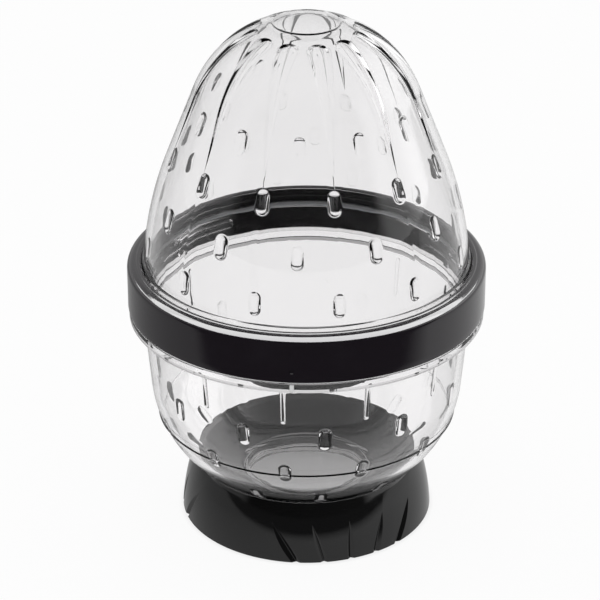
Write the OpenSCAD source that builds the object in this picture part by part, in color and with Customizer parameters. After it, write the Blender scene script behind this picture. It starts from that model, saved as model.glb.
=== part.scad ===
// Clear shaker that peels boiled eggs: a fluted dome and a bowl, both with nubs inside,
// held together by a twist-on collar over a seal, and standing on a flared foot.
// Sizes are in millimetres. The axis is Z, the foot stands on Z = 0 and the front faces -Y.
// Turns are in degrees, counted from the front towards +X.

/* [Bowl] */
// Outside diameter of the bowl's neck, which the collar goes round
neck_d = 113.8; // [106:0.2:124]
// Height of the neck above the stop flange
neck_h = 10.2; // [9.6:0.1:14]
// Height from the bowl's floor to the underside of the stop flange
bowl_h = 64.9; // [58:0.1:80]
// Thickness of the bowl's wall
bowl_wall = 2.2; // [1.6:0.1:3]
// Radius of the rounding between wall and floor
bowl_round = 42.7; // [36:0.1:48]
// How much narrower than the neck the bowl is where the rounding starts
bowl_taper = 2.2; // [1:0.1:5]
// Height of the bowl's floor above the table
bowl_lift = 11.5; // [10.5:0.1:14]
// Thickness of the stop flange under the collar
flange_t = 3.7; // [2.5:0.1:6]
// Height of the fill line above the bowl's floor
fill_h = 27.8; // [20:0.1:50]
// Width of the raised fill line
fill_w = 0.9; // [0.5:0.1:1.6]
// Turn of the bowl's nubs
bowl_turn = 6.7; // [0:0.1:30]

/* [Twist lock] */
// Number of lugs on the neck, and of hooks in the collar
lug_count = 3; // [2:1:3]
// How far a lug stands out of the neck
lug_depth = 1.7; // [1.4:0.1:3]
// Height of a lug
lug_h = 2.4; // [1.6:0.1:2.6]
// Distance from the rim down to the lugs
lug_drop = 3.3; // [2.6:0.1:3.4]
// Length of a lug, in degrees
lug_span = 40; // [30:1:44]
// Turn of the first lug's free end
lug_turn = -151; // [-180:1:180]
// Gap between the lugs and the collar's wall
lug_gap = 0.7; // [0.4:0.1:1.2]
// How far a hook reaches in from the collar's wall
hook_depth = 1.5; // [1.2:0.1:2]
// Height of a hook
hook_h = 1.8; // [1.2:0.1:2]
// Length of a hook, in degrees
hook_span = 16; // [12:1:18]
// How far a hook is turned under its lug, in degrees
hook_hold = 12; // [8:1:12]
// Height left under a lug, which the squeezed seal takes up
hook_gap = 1.2; // [1:0.1:1.3]

/* [Collar] */
// Thickness of the collar's wall
collar_wall = 2.7; // [2:0.1:4]
// Rounding of the collar's upper edge
collar_round = 2.5; // [1:0.1:3]
// Thickness of the lip over the dome's flange
lip_t = 2.4; // [1.6:0.1:3.2]
// Gap between the lip and the dome's wall
lip_gap = 0.7; // [0.4:0.1:1.2]
// Width of the closing dot
dot_d = 1.6; // [1:0.1:3]

/* [Seal] */
// Width of the seal
seal_w = 1.9; // [1.2:0.1:2]
// Thickness of the seal
seal_t = 2; // [1.4:0.1:3]
// Depth of the groove that holds the seal
groove_t = 1; // [0.6:0.1:1.2]

/* [Dome] */
// Height of the dome above the collar
dome_h = 86.4; // [80:0.2:100]
// Thickness of the dome's wall
dome_wall = 2.2; // [1.8:0.1:3]
// How far the dome's foot stands in from the neck's outside
dome_inset = 0.6; // [0.2:0.1:1]
// How much smaller than the dome's foot the radius of its round cap is
dome_taper = 15.1; // [12:0.1:18]
// Lean of the dome's straight flank
dome_lean = 21.4; // [19:0.1:24]
// Lean of the dome's wall at the collar
dome_base_lean = 4; // [2:0.1:7]
// Thickness of the flange under the collar's lip
rim_t = 2.6; // [2.2:0.1:4]
// Diameter of the raised disc on top
disc_d = 23; // [16:0.5:30]
// Height of the raised disc
disc_h = 0.5; // [0.3:0.1:1]
// Ledge round the raised disc
disc_ledge = 1; // [0.5:0.1:2]
// Number of flutes, and of nubs in a row
flute_count = 12; // [8:1:14]
// Radius of a flute's hollow
flute_r = 6; // [4:0.1:8]
// Depth of a flute at its upper end
flute_depth = 1; // [0.5:0.1:1.2]
// Distance from the disc to the flutes
flute_gap = 5; // [3:0.1:8]
// Turn of the first flute
flute_turn = 11.6; // [0:0.1:30]

/* [Nubs] */
// Width of a nub
nub_w = 4.4; // [3:0.1:6]
// Length of a nub
nub_l = 8.6; // [6.5:0.1:10]
// Height of a nub off the wall
nub_h = 1.4; // [0.8:0.1:1.4]
// Height of the dome's lowest nubs above the collar
dome_nub_start = 7.7; // [6:0.1:12]
// Height between the dome's rows of nubs
dome_nub_pitch = 16.5; // [13:0.1:17]
// Height of the bowl's lowest nubs above its floor
bowl_nub_start = 12.5; // [10:0.1:16]
// Height between the bowl's rows of nubs
bowl_nub_pitch = 15; // [11:0.1:17]
// Width of the fine ribs under the neck
rib_w = 1.6; // [1:0.1:2.4]
// Length of the fine ribs
rib_l = 15; // [8:0.5:18]
// Height of the fine ribs off the wall
rib_h = 0.6; // [0.3:0.1:0.7]

/* [Foot] */
// Diameter of the foot on the table
foot_d = 88.8; // [84:0.2:100]
// Height of the foot's rim
foot_h = 21.5; // [19:0.1:25]
// Radius of the foot's bulge
foot_bulge = 77; // [50:1:140]
// Thickness of the foot's wall
foot_wall = 2.6; // [2.2:0.1:4]
// Width of the rim's edge against the bowl
foot_edge = 0.5; // [0.3:0.1:1.2]
// Thickness of the web inside the foot
web_t = 2.4; // [1.6:0.1:4]
// Height of the web's underside
web_z = 8.2; // [7.4:0.1:8.6]
// Outside diameter of the bowl's spigot, which snaps into the web
spigot_d = 48; // [40:0.2:52]
// Thickness of the spigot's wall
spigot_wall = 2.2; // [1.6:0.1:3]
// Length of the spigot below the bowl's floor
spigot_l = 6.3; // [5.8:0.1:7]
// Groups of slots round the foot
slot_groups = 3; // [2:1:3]
// Slots in a group
slot_count = 5; // [3:2:7]
// Turn from one slot's lower end to the next
slot_pitch = 12.6; // [9:0.1:15]
// Lean from one slot to the next
slot_lean = 16.5; // [0:0.5:18]
// Width of a slot at the foot's lower edge
slot_w = 2.4; // [1.6:0.1:3]
// Depth of a slot at the foot's lower edge
slot_depth = 0.85; // [0.5:0.05:1.2]
// Height that the slots reach
slot_h = 14; // [9:0.5:16]
// Turn of the first group's middle slot
slot_turn = 20.6; // [0:0.1:60]

/* [Clearances] */
// Gap between faces that move past each other
run_gap = 0.35; // [0.2:0.05:0.6]
// Gap between the seal and the rim below it
seal_gap = 0.3; // [0.2:0.05:0.6]
// Gap between fixed pieces that are fitted together
fit_gap = 0.1; // [0.05:0.05:0.2]

/* [Hidden] */
$fn = 96;

// Heights, from the table up
floor_z = bowl_lift;
flange_z = floor_z + bowl_h;
neck_z = flange_z + flange_t;
rim_z = neck_z + neck_h;
seal_z = rim_z + seal_gap;
rim_flange_z = seal_z + seal_t - groove_t;
lip_z = rim_flange_z + rim_t + run_gap;
collar_z = neck_z + run_gap;
collar_top = lip_z + lip_t;
top_z = collar_top + dome_h;
lug_z = rim_z - lug_drop - lug_h;
hook_z = lug_z - hook_gap - hook_h;

// Radii, from the neck outwards
neck_r = neck_d / 2;
lug_r = neck_r + lug_depth;
collar_in_r = lug_r + lug_gap;
collar_r = collar_in_r + collar_wall;
flange_r = collar_r - run_gap;
hook_r = collar_in_r - hook_depth;
rim_r = collar_in_r - run_gap;
base_r = neck_r - dome_inset;
lip_r = base_r + lip_gap;
seal_out_r = neck_r;
seal_in_r = seal_out_r - seal_w;

// Bowl: a round corner about corner = [radius, height], and a wall that is tangent to it
corner = [neck_r - bowl_taper - bowl_round, floor_z + bowl_round];
to_neck = [neck_r, flange_z] - corner;
wall_lean = acos(bowl_round / norm(to_neck)) - atan2(to_neck[1], to_neck[0]);
function bowl_z(inset) = corner[1] - (bowl_round - inset) * sin(wall_lean);
function bowl_r(z, inset) = z < bowl_z(inset)
    ? corner[0] + sqrt((bowl_round - inset) ^ 2 - (corner[1] - z) ^ 2)
    : corner[0] + (bowl_round - inset) / cos(wall_lean) + (z - corner[1]) * tan(wall_lean);
function bowl_lean(z) = z < bowl_z(0) ? asin((corner[1] - z) / bowl_round) : wall_lean;

// Dome: a round cap about the axis, a straight flank and a round belly down to the collar
cap_r = base_r - dome_taper;
disc_r = disc_d / 2;
cap_flat_z = top_z - disc_h;
cap_z = cap_flat_z - sqrt(cap_r ^ 2 - (disc_r + disc_ledge) ^ 2);
flank_foot_r = cap_r / cos(dome_lean) - (collar_top - cap_z) * tan(dome_lean);
belly_r = (flank_foot_r - base_r) * cos(dome_lean) / (1 - cos(dome_lean - dome_base_lean));
belly = [base_r - belly_r * cos(dome_base_lean), collar_top - belly_r * sin(dome_base_lean)];
function on_cap(inset, lean) = [0, cap_z] + (cap_r - inset) * [cos(lean), sin(lean)];
function on_belly(inset, lean) = belly + (belly_r - inset) * [cos(lean), sin(lean)];
cap_start = on_cap(0, dome_lean);
belly_end = on_belly(0, dome_lean);
function dome_lean_at(z) = z > cap_start[1] ? asin((z - cap_z) / cap_r)
    : z > belly_end[1] ? dome_lean : asin((z - belly[1]) / belly_r);
function dome_r_at(z) = z > cap_start[1] ? sqrt(cap_r ^ 2 - (z - cap_z) ^ 2)
    : z > belly_end[1] ? cap_start[0] + (cap_start[1] - z) * tan(dome_lean)
    : belly[0] + sqrt(belly_r ^ 2 - (z - belly[1]) ^ 2);

// Nubs and flutes
dome_rows = 4;
bowl_rows = 3;
step = 360 / flute_count;
tip_row = 2;
tip_z = collar_top + dome_nub_start + tip_row * dome_nub_pitch + nub_l / 2;
flank_run = (cap_start[1] - tip_z) / cos(dome_lean);
flute_end = sqrt(2 * flute_r * flute_depth);
flute_lean = acos(disc_r / cap_r) - (flute_gap + flute_end) / cap_r * 180 / PI;
cap_run = cap_r * (flute_lean - dome_lean) * PI / 180;
flank_depth = flute_depth * flank_run / (flank_run + cap_run);
flute_shift = (flute_depth - flank_depth) / sin(flute_lean - dome_lean);

// Foot: a bulged wall about foot_c, from the table to the bowl
foot_r = foot_d / 2;
foot_top_r = bowl_r(foot_h, 0) + fit_gap + foot_edge;
foot_chord = [foot_top_r - foot_r, foot_h];
foot_sag = sqrt(foot_bulge ^ 2 - (norm(foot_chord) / 2) ^ 2) / norm(foot_chord);
foot_c = [(foot_r + foot_top_r) / 2 - foot_chord[1] * foot_sag, foot_h / 2 + foot_chord[0] * foot_sag];
spigot_r = spigot_d / 2;
bead_r = 0.6;
tick_w = 1.2;
edge_round = 0.6;
dot_turn = -4.5;
dot_depth = 0.5;
overcut = 1;
hair = 0.01;
lap = 3;

module at_turn(turn) rotate([0, 0, turn - 90]) children();

module ring_of(count, turn) for (i = [0:count - 1]) at_turn(turn + i * 360 / count) children();

// A band between two radii, over part of a turn that starts at turn
module band(r_in, r_out, z, h, turn, span)
    at_turn(turn) rotate_extrude(angle = span) translate([r_in, z]) square([r_out - r_in, h]);

// Half of a round-ended rod that lies in a wall: it leans with the wall and stands h off its inside
module nub(r, z, lean, wall, w, l, h)
    translate([r, 0, z]) rotate([0, lean, 0]) translate([w / 2 - h - wall, 0, 0]) {
        rotate([0, 0, 90]) rotate_extrude(angle = 180)
            translate([0, w / 2 - l / 2]) square([w / 2, l - w]);
        for (end = [-1, 1]) translate([0, 0, end * (l - w) / 2]) rotate([0, -90, 0])
            rotate_extrude() intersection() {
                circle(r = w / 2);
                square(w / 2);
            }
    }

// The dome's outline out to its surface, or to a surface that lies inset below it.
// The flank's ends lie a hair inside the two rounds, so that they overlap.
module dome_outline(inset, foot_z) {
    upper = on_cap(inset, dome_lean) - [hair, 0];
    lower = on_belly(inset, dome_lean) - [hair, 0];
    intersection() {
        translate([0, cap_z]) circle(r = cap_r - inset);
        translate([0, upper[1] - lap]) square([cap_r, cap_flat_z - inset - upper[1] + lap]);
    }
    polygon([[0, lower[1]], lower, upper, [0, upper[1]]]);
    intersection() {
        translate(belly) circle(r = belly_r - inset);
        translate([0, foot_z]) square([2 * base_r, lower[1] + lap - foot_z]);
    }
}

// A flute's hollow runs round the cap from its head, and then out through the flank to its tip.
// The head is a hair wider and the tail a hair shallower, so that neither just touches the rest.
flute_along = [sin(dome_lean), -cos(dome_lean)];
flute_out = [cos(dome_lean), sin(dome_lean)];
flute_c = [0, cap_z] + flute_shift * flute_along;
flute_turn_r = cap_r + flute_r - flank_depth;

module flute_round()
    translate([flute_c[0], 0, flute_c[1]]) rotate([90, 0, 0]) rotate([0, 0, dome_lean])
        rotate_extrude(angle = flute_lean - dome_lean) translate([flute_turn_r, 0]) circle(r = flute_r);

module flute_head() {
    head = flute_c + flute_turn_r * [cos(flute_lean), sin(flute_lean)];
    translate([head[0], 0, head[1]]) sphere(r = flute_r + 5 * hair);
}

module flute_tail() {
    start = flute_c + (flute_turn_r + 5 * hair) * flute_out;
    run = flute_along * flank_run + flute_out * flank_depth;
    translate([start[0], 0, start[1]]) rotate([0, atan2(run[0], run[1]), 0])
        translate([0, 0, -overcut]) cylinder(r = flute_r, h = norm(run) + overcut);
}

module dome() color([0.93, 0.95, 0.96, 0.4]) {
    difference() {
        union() {
            rotate_extrude() difference() {
                union() {
                    dome_outline(0, rim_flange_z);
                    translate([0, cap_flat_z - dome_wall]) square([disc_r, dome_wall + disc_h]);
                    translate([0, rim_flange_z]) square([rim_r, rim_t]);
                }
                dome_outline(dome_wall, rim_flange_z - overcut);
                translate([seal_in_r - fit_gap, rim_flange_z - overcut])
                    square([seal_w + 2 * fit_gap, groove_t + overcut]);
            }
        }
        ring_of(flute_count, flute_turn) flute_round();
        ring_of(flute_count, flute_turn) flute_head();
        ring_of(flute_count, flute_turn) flute_tail();
        for (i = [0:lug_count - 1])
            band(hook_r - run_gap, rim_r + overcut, rim_flange_z - overcut, rim_t + 2 * overcut,
                i * 360 / lug_count, hook_span + 4);
    }
    for (row = [0:dome_rows - 1]) {
        z = collar_top + dome_nub_start + row * dome_nub_pitch;
        ring_of(flute_count, flute_turn + (row % 2) * step / 2)
            nub(dome_r_at(z), z, -dome_lean_at(z), dome_wall, nub_w, nub_l, nub_h);
    }
}

module collar() color([0.11, 0.11, 0.12]) {
    difference() {
        rotate_extrude() difference() {
            union() {
                translate([collar_in_r - overcut, collar_z])
                    square([collar_wall + overcut, collar_top - collar_z - collar_round]);
                translate([lip_r, lip_z]) square([collar_r - collar_round - lip_r, lip_t]);
                translate([collar_r - collar_round, collar_top - collar_round]) circle(r = collar_round);
            }
            translate([0, collar_z - overcut]) square([collar_in_r, lip_z - collar_z + overcut]);
        }
        at_turn(dot_turn) translate([collar_r - dot_depth, 0, lug_z]) rotate([0, 90, 0])
            cylinder(d = dot_d, h = dot_depth + overcut);
    }
    for (i = [0:lug_count - 1])
        band(hook_r, collar_in_r + collar_wall / 2, hook_z, hook_h,
            lug_turn + lug_span - hook_hold + i * 360 / lug_count, hook_span);
}

module seal() color([0.86, 0.87, 0.88])
    rotate_extrude() translate([seal_in_r, seal_z]) square([seal_w, seal_t]);

// The bowl's outline out to its surface, or to a surface that lies inset below it.
// The wall starts a hair inside the rounding, so that they overlap.
module bowl_outline(inset, upper_z) {
    bend_z = flange_z + inset * tan(wall_lean / 2);
    bottom_z = floor_z + inset;
    start_z = bowl_z(inset);
    intersection() {
        translate(corner) circle(r = bowl_round - inset);
        translate([0, bottom_z]) square([neck_r, start_z + lap - bottom_z]);
    }
    translate([0, bottom_z]) square([corner[0], start_z - bottom_z]);
    polygon([[0, start_z], [bowl_r(start_z, inset) - hair, start_z],
        [neck_r - inset, bend_z], [0, bend_z]]);
    translate([0, bend_z]) square([neck_r - inset, upper_z - bend_z]);
}

module bowl() color([0.93, 0.95, 0.96, 0.4]) {
    rotate_extrude() difference() {
        union() {
            bowl_outline(0, rim_z);
            translate([neck_r - bowl_wall / 2, flange_z]) {
                square([flange_r - edge_round - neck_r + bowl_wall / 2, flange_t]);
                translate([0, edge_round])
                    square([flange_r - neck_r + bowl_wall / 2, flange_t - 2 * edge_round]);
            }
            for (z = [flange_z + edge_round, neck_z - edge_round])
                translate([flange_r - edge_round, z]) circle(r = edge_round);
            translate([bowl_r(floor_z + fill_h, 0), floor_z + fill_h]) circle(d = fill_w);
            translate([spigot_r - spigot_wall, floor_z - spigot_l])
                square([spigot_wall, bowl_z_at(spigot_r, bowl_wall / 2) - floor_z + spigot_l]);
            translate([spigot_r, web_z - bead_r - fit_gap]) circle(r = bead_r);
        }
        bowl_outline(bowl_wall, rim_z + overcut);
    }
    for (i = [0:lug_count - 1]) {
        turn = lug_turn + i * 360 / lug_count;
        band(neck_r - bowl_wall / 2, lug_r, lug_z, lug_h, turn, lug_span);
        band(neck_r - bowl_wall / 3, lug_r - run_gap, hook_z, lug_z - hook_z + lug_h / 2,
            turn + lug_span - hook_hold - 4, 3);
    }
    at_turn(dot_turn) translate([flange_r - edge_round, -tick_w / 2, flange_z + edge_round])
        cube([edge_round + run_gap, tick_w, flange_t - 2 * edge_round]);
    for (row = [0:bowl_rows - 1]) {
        z = floor_z + bowl_nub_start + row * bowl_nub_pitch;
        ring_of(flute_count, bowl_turn + (row % 2) * step / 2)
            nub(bowl_r(z, 0), z, bowl_lean(z), bowl_wall, nub_w, nub_l, nub_h);
    }
    rib_z = flange_z - rib_l / 2 - overcut;
    ring_of(flute_count, bowl_turn + step / 2)
        nub(bowl_r(rib_z, 0), rib_z, wall_lean, bowl_wall, rib_w, rib_l, rib_h);
}

// Height of the surface that lies inset below the bowl's outside, at a radius on its rounding
function bowl_z_at(r, inset) = corner[1] - sqrt((bowl_round - inset) ^ 2 - (r - corner[0]) ^ 2);

// One slot: a straight notch from below the foot's lower edge, which leans and runs out of the bulge
function foot_r_at(z) = foot_c[0] + sqrt(foot_bulge ^ 2 - (z - foot_c[1]) ^ 2);

module slot(lean) {
    turn = slot_h * tan(lean) / foot_r * 180 / PI;
    high_r = foot_r_at(slot_h);
    low = [foot_r - slot_depth, 0, 0];
    run = [high_r * cos(turn), high_r * sin(turn), slot_h] - low;
    side = atan2(run[1], run[0]);
    flare = slot_w / 2 / slot_depth;
    out = 3 * slot_depth;
    translate(low - 0.2 * run) rotate([0, acos(run[2] / norm(run)), side]) rotate([0, 0, -side])
        linear_extrude(height = 1.5 * norm(run)) polygon([[0, 0], [out, -flare * out], [out, flare * out]]);
}

module foot() color([0.07, 0.07, 0.075])
    difference() {
        rotate_extrude() difference() {
            intersection() {
                translate(foot_c) circle(r = foot_bulge);
                square([2 * foot_r, foot_h]);
                union() {
                    difference() {
                        square([2 * foot_r, foot_h]);
                        translate(foot_c) circle(r = foot_bulge - foot_wall);
                    }
                    translate([spigot_r + fit_gap, web_z]) square([foot_r, web_t]);
                }
            }
            translate(corner) circle(r = bowl_round + fit_gap);
        }
        for (group = [0:slot_groups - 1], i = [0:slot_count - 1]) {
            k = i - (slot_count - 1) / 2;
            at_turn(slot_turn + group * 360 / slot_groups + k * slot_pitch) slot(k * slot_lean);
        }
    }

dome();
collar();
seal();
bowl();
foot();
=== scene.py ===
import math

import bmesh
import bpy
import numpy as np
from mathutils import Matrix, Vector


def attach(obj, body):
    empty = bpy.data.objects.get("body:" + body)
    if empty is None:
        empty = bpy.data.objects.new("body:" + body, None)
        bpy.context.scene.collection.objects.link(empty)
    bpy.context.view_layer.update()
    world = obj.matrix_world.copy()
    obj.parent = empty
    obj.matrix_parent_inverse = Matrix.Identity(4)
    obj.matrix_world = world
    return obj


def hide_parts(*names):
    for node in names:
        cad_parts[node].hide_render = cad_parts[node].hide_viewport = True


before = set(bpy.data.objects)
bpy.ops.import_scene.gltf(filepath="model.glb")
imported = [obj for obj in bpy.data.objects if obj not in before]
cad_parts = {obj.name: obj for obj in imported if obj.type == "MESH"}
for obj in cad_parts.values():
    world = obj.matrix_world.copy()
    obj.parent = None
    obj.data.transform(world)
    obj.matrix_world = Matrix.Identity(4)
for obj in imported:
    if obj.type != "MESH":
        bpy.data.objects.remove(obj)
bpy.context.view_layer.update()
scene = bpy.context.scene
mm = 0.001
weld = {"points": 2e-6, "slivers": 1e-7, "seams": 3e-6}  # metres
turnStep, sectorSteps, sectorCount = 30, 4, 3  # degrees from nub to nub, steps in a sector, sectors in a turn
sectorTurn = turnStep * sectorSteps
lengthSamples = 20001  # points along a wall when a height is looked up
print("frame loaded:", sorted(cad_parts))


# small tools shared by the pieces, in millimetres; turns count from the front towards +X

def around(az, r, z):
    az, r, z = np.broadcast_arrays(np.radians(az), r, z)
    return np.stack([r * np.sin(az), -r * np.cos(az), z], -1)


class Shell:
    def __init__(self):
        self.points, self.faces, self.count = [], [], 0

    def add(self, points):
        ids = np.arange(self.count, self.count + points[..., 0].size).reshape(points.shape[:-1])
        self.points.append(points.reshape(-1, 3))
        self.count += ids.size
        return ids

    def quads(self, ids, skip=None):
        cells = np.stack([ids[:-1, :-1], ids[1:, :-1], ids[1:, 1:], ids[:-1, 1:]], -1)
        self.faces += cells[~skip].tolist() if skip is not None else cells.reshape(-1, 4).tolist()

    def mesh(self, name):
        data = bpy.data.meshes.new(name)
        data.from_pydata((np.concatenate(self.points) * mm).tolist(), [], self.faces)
        work = bmesh.new()
        work.from_mesh(data)
        bmesh.ops.remove_doubles(work, verts=work.verts, dist=weld["points"])
        bmesh.ops.dissolve_degenerate(work, edges=work.edges, dist=weld["slivers"])
        work.to_mesh(data)
        work.free()
        return data


def arc(cr, cz, radius, start, end, count):
    turns = np.radians(np.linspace(start, end, count))
    return [(cr + radius * math.cos(t), cz + radius * math.sin(t)) for t in turns]


def bridge(shell, a, b):
    # joins two open rows of points that run the same way but have different counts
    ia, ib = shell.add(a), shell.add(b)
    ta = np.degrees(np.unwrap(np.arctan2(a[:, 0], -a[:, 1])))
    tb = np.degrees(np.unwrap(np.arctan2(b[:, 0], -b[:, 1])))
    tb = tb + 360 * np.round((ta[0] - tb[0]) / 360)
    i = j = 0
    while i < len(ia) - 1 or j < len(ib) - 1:
        if j == len(ib) - 1 or (i < len(ia) - 1 and ta[i + 1] <= tb[j + 1]):
            shell.faces.append([int(ia[i]), int(ib[j]), int(ia[i + 1])])
            i += 1
        else:
            shell.faces.append([int(ia[i]), int(ib[j]), int(ib[j + 1])])
            j += 1


def newObject(name, data):
    thing = bpy.data.objects.new(name, data)
    scene.collection.objects.link(thing)
    return thing


def joined(thing, *others):
    work = bmesh.new()
    for o in (thing, *others):
        work.from_mesh(o.data)
    work.to_mesh(thing.data)
    work.free()
    for o in others:
        bpy.data.objects.remove(o)


def socketId(tree, name):
    return next(i.identifier for i in tree.interface.items_tree
                if i.item_type == "SOCKET" and i.in_out == "INPUT" and i.name == name)


def makeAroundAxis():
    # repeats a sector round Z, closes its seams and keeps edges over Sharp Angle crisp
    tree = bpy.data.node_groups.new("aroundAxis", "GeometryNodeTree")
    for name, kind in (("Geometry", "Geometry"), ("Count", "Int"), ("Sharp Angle", "Float"),
                       ("Material", "Material")):
        tree.interface.new_socket(name, in_out="INPUT", socket_type="NodeSocket" + kind)
    tree.interface.new_socket("Geometry", in_out="OUTPUT", socket_type="NodeSocketGeometry")
    make, link = tree.nodes.new, tree.links.new
    start, end = make("NodeGroupInput"), make("NodeGroupOutput")
    spots, index = make("GeometryNodePoints"), make("GeometryNodeInputIndex")
    share, turn, spin = make("ShaderNodeMath"), make("ShaderNodeMath"), make("ShaderNodeCombineXYZ")
    share.operation, share.inputs[0].default_value = "DIVIDE", 2 * math.pi
    turn.operation = "MULTIPLY"
    copies, real = make("GeometryNodeInstanceOnPoints"), make("GeometryNodeRealizeInstances")
    merge, paint = make("GeometryNodeMergeByDistance"), make("GeometryNodeSetMaterial")
    merge.inputs["Distance"].default_value = weld["seams"]
    smooth, crisp = make("GeometryNodeSetShadeSmooth"), make("GeometryNodeSetShadeSmooth")
    crisp.domain = "EDGE"
    crisp.inputs["Shade Smooth"].default_value = False
    bend, over = make("GeometryNodeInputMeshEdgeAngle"), make("ShaderNodeMath")
    over.operation = "GREATER_THAN"
    link(start.outputs["Count"], spots.inputs["Count"])
    link(start.outputs["Count"], share.inputs[1])
    link(index.outputs[0], turn.inputs[0])
    link(share.outputs[0], turn.inputs[1])
    link(turn.outputs[0], spin.inputs["Z"])
    link(spots.outputs[0], copies.inputs["Points"])
    link(start.outputs["Geometry"], copies.inputs["Instance"])
    link(spin.outputs[0], copies.inputs["Rotation"])
    link(copies.outputs[0], real.inputs[0])
    link(real.outputs[0], merge.inputs["Geometry"])
    link(merge.outputs[0], smooth.inputs["Geometry"])
    link(smooth.outputs[0], crisp.inputs["Geometry"])
    link(bend.outputs["Unsigned Angle"], over.inputs[0])
    link(start.outputs["Sharp Angle"], over.inputs[1])
    link(over.outputs[0], crisp.inputs["Selection"])
    link(crisp.outputs[0], paint.inputs["Geometry"])
    link(start.outputs["Material"], paint.inputs["Material"])
    link(paint.outputs[0], end.inputs[0])
    return tree


aroundAxis = makeAroundAxis()


def repeated(name, data, count, sharp, material):
    thing = newObject(name, data)
    mod = thing.modifiers.new("around", "NODES")
    mod.node_group = aroundAxis
    mod[socketId(aroundAxis, "Count")] = count
    mod[socketId(aroundAxis, "Sharp Angle")] = math.radians(sharp)
    mod[socketId(aroundAxis, "Material")] = material
    graph = bpy.context.evaluated_depsgraph_get()
    done = bpy.data.meshes.new_from_object(thing.evaluated_get(graph), depsgraph=graph)
    thing.modifiers.clear()
    thing.data = done
    done.name = name
    return thing


def report(thing):
    work = bmesh.new()
    work.from_mesh(thing.data)
    loose = sum(1 for e in work.edges if len(e.link_faces) != 2)
    print(f"{thing.name}: {sum(len(f.verts) - 2 for f in work.faces)} triangles, {loose} open edges, "
          f"{work.calc_volume(signed=True) * 1e6:.2f} cm3")
    work.free()


# helpers for shader nodes

def spreadNode(tree, value, *numbers):
    # from min, from max, to min, to max; what isn't given stays at the node's own value
    node = tree.nodes.new("ShaderNodeMapRange")
    for key, number in zip(("From Min", "From Max", "To Min", "To Max"), numbers):
        node.inputs[key].default_value = number
    tree.links.new(value, node.inputs["Value"])
    return node.outputs[0]


def mathNode(tree, operation, *values):
    node = tree.nodes.new("ShaderNodeMath")
    node.operation = operation
    for socket, value in zip(node.inputs, values):
        if isinstance(value, float):
            socket.default_value = value
        else:
            tree.links.new(value, socket)
    return node.outputs[0]


class Surface:
    # a plain material; its patterns are noise on Object coordinates: scale, detail, roughness and stretch
    def __init__(self, name):
        self.material = bpy.data.materials.new(name)
        self.material.use_nodes = True
        self.tree = self.material.node_tree
        self.inputs = self.tree.nodes["Principled BSDF"].inputs
        self.place = self.tree.nodes.new("ShaderNodeTexCoord").outputs["Object"]

    def noise(self, scale, detail, rough, stretch=None):
        node = self.tree.nodes.new("ShaderNodeTexNoise")
        node.inputs["Scale"].default_value = scale
        node.inputs["Detail"].default_value = detail
        node.inputs["Roughness"].default_value = rough
        place = self.place
        if stretch:
            mapping = self.tree.nodes.new("ShaderNodeMapping")
            mapping.inputs["Scale"].default_value = stretch
            self.tree.links.new(place, mapping.inputs["Vector"])
            place = mapping.outputs[0]
        self.tree.links.new(place, node.inputs["Vector"])
        return node.outputs["Fac"]

    def vary(self, socket, pattern, levels):
        self.tree.links.new(spreadNode(self.tree, self.noise(*pattern), *levels), socket)

    def bump(self, pattern, strength, distance):
        node = self.tree.nodes.new("ShaderNodeBump")
        node.inputs["Strength"].default_value = strength
        node.inputs["Distance"].default_value = distance
        self.tree.links.new(self.noise(*pattern), node.inputs["Height"])
        self.tree.links.new(node.outputs[0], self.inputs["Normal"])


# materials; a pattern's levels are the noise from and to, and the value from and to

clearLook = {"ior": 1.5, "tint": (0.985, 0.98, 0.982), "fog": (0.34, 0.3, 0.36), "density": 7.0,
             "haze": (42, 4.0, 0.6), "hazeLevels": (0.45, 0.8, 0.0, 0.03),
             "flow": (30, 1.0, 0.4, (1, 1, 0.6)), "flowBump": (0.25, 0.00006)}


def makeClear(s):
    surface = Surface("clearPlastic")
    tree, inputs = surface.tree, surface.inputs
    inputs["Base Color"].default_value = (*s["tint"], 1)
    inputs["Transmission Weight"].default_value = 1.0
    inputs["IOR"].default_value = s["ior"]
    # handling haze in patches, and the slow waves that flow leaves in moulded walls
    surface.vary(inputs["Roughness"], s["haze"], s["hazeLevels"])
    surface.bump(s["flow"], *s["flowBump"])
    fog = tree.nodes.new("ShaderNodeVolumeAbsorption")
    fog.inputs["Color"].default_value = (*s["fog"], 1)
    fog.inputs["Density"].default_value = s["density"]
    tree.links.new(fog.outputs[0], tree.nodes["Material Output"].inputs["Volume"])
    return surface.material


collarLook = {"colour": (0.0068, 0.0042, 0.0075), "worn": (0.0098, 0.0072, 0.0108), "shine": 0.65,
              "wear": (70, 5.0, 0.65), "wearLevels": (0.5, 0.75, 0, 1),
              "smear": (160, 4.0, 0.6), "smearLevels": (0.35, 0.7, 0.08, 0.14),
              "grain": (2600, 2.0, 0.5), "grainBump": (0.12, 0.00004)}


def makeCollarBlack(s):
    surface = Surface("collarBlack")
    tree, inputs = surface.tree, surface.inputs
    mix = tree.nodes.new("ShaderNodeMix")
    mix.data_type = "RGBA"
    mix.inputs["A"].default_value = (*s["colour"], 1)
    mix.inputs["B"].default_value = (*s["worn"], 1)
    surface.vary(mix.inputs["Factor"], s["wear"], s["wearLevels"])
    tree.links.new(mix.outputs["Result"], inputs["Base Color"])
    surface.vary(inputs["Roughness"], s["smear"], s["smearLevels"])
    surface.bump(s["grain"], *s["grainBump"])  # fine spark-eroded grain
    inputs["Specular IOR Level"].default_value = s["shine"]
    return surface.material


footLook = {"colour": (0.002, 0.002, 0.0022), "shine": 0.66,
            "smear": (120, 5.0, 0.6), "smearLevels": (0.45, 0.75, 0.06, 0.13),
            "peel": (420, 1.5, 0.5), "peelBump": (0.10, 0.00006)}


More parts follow.
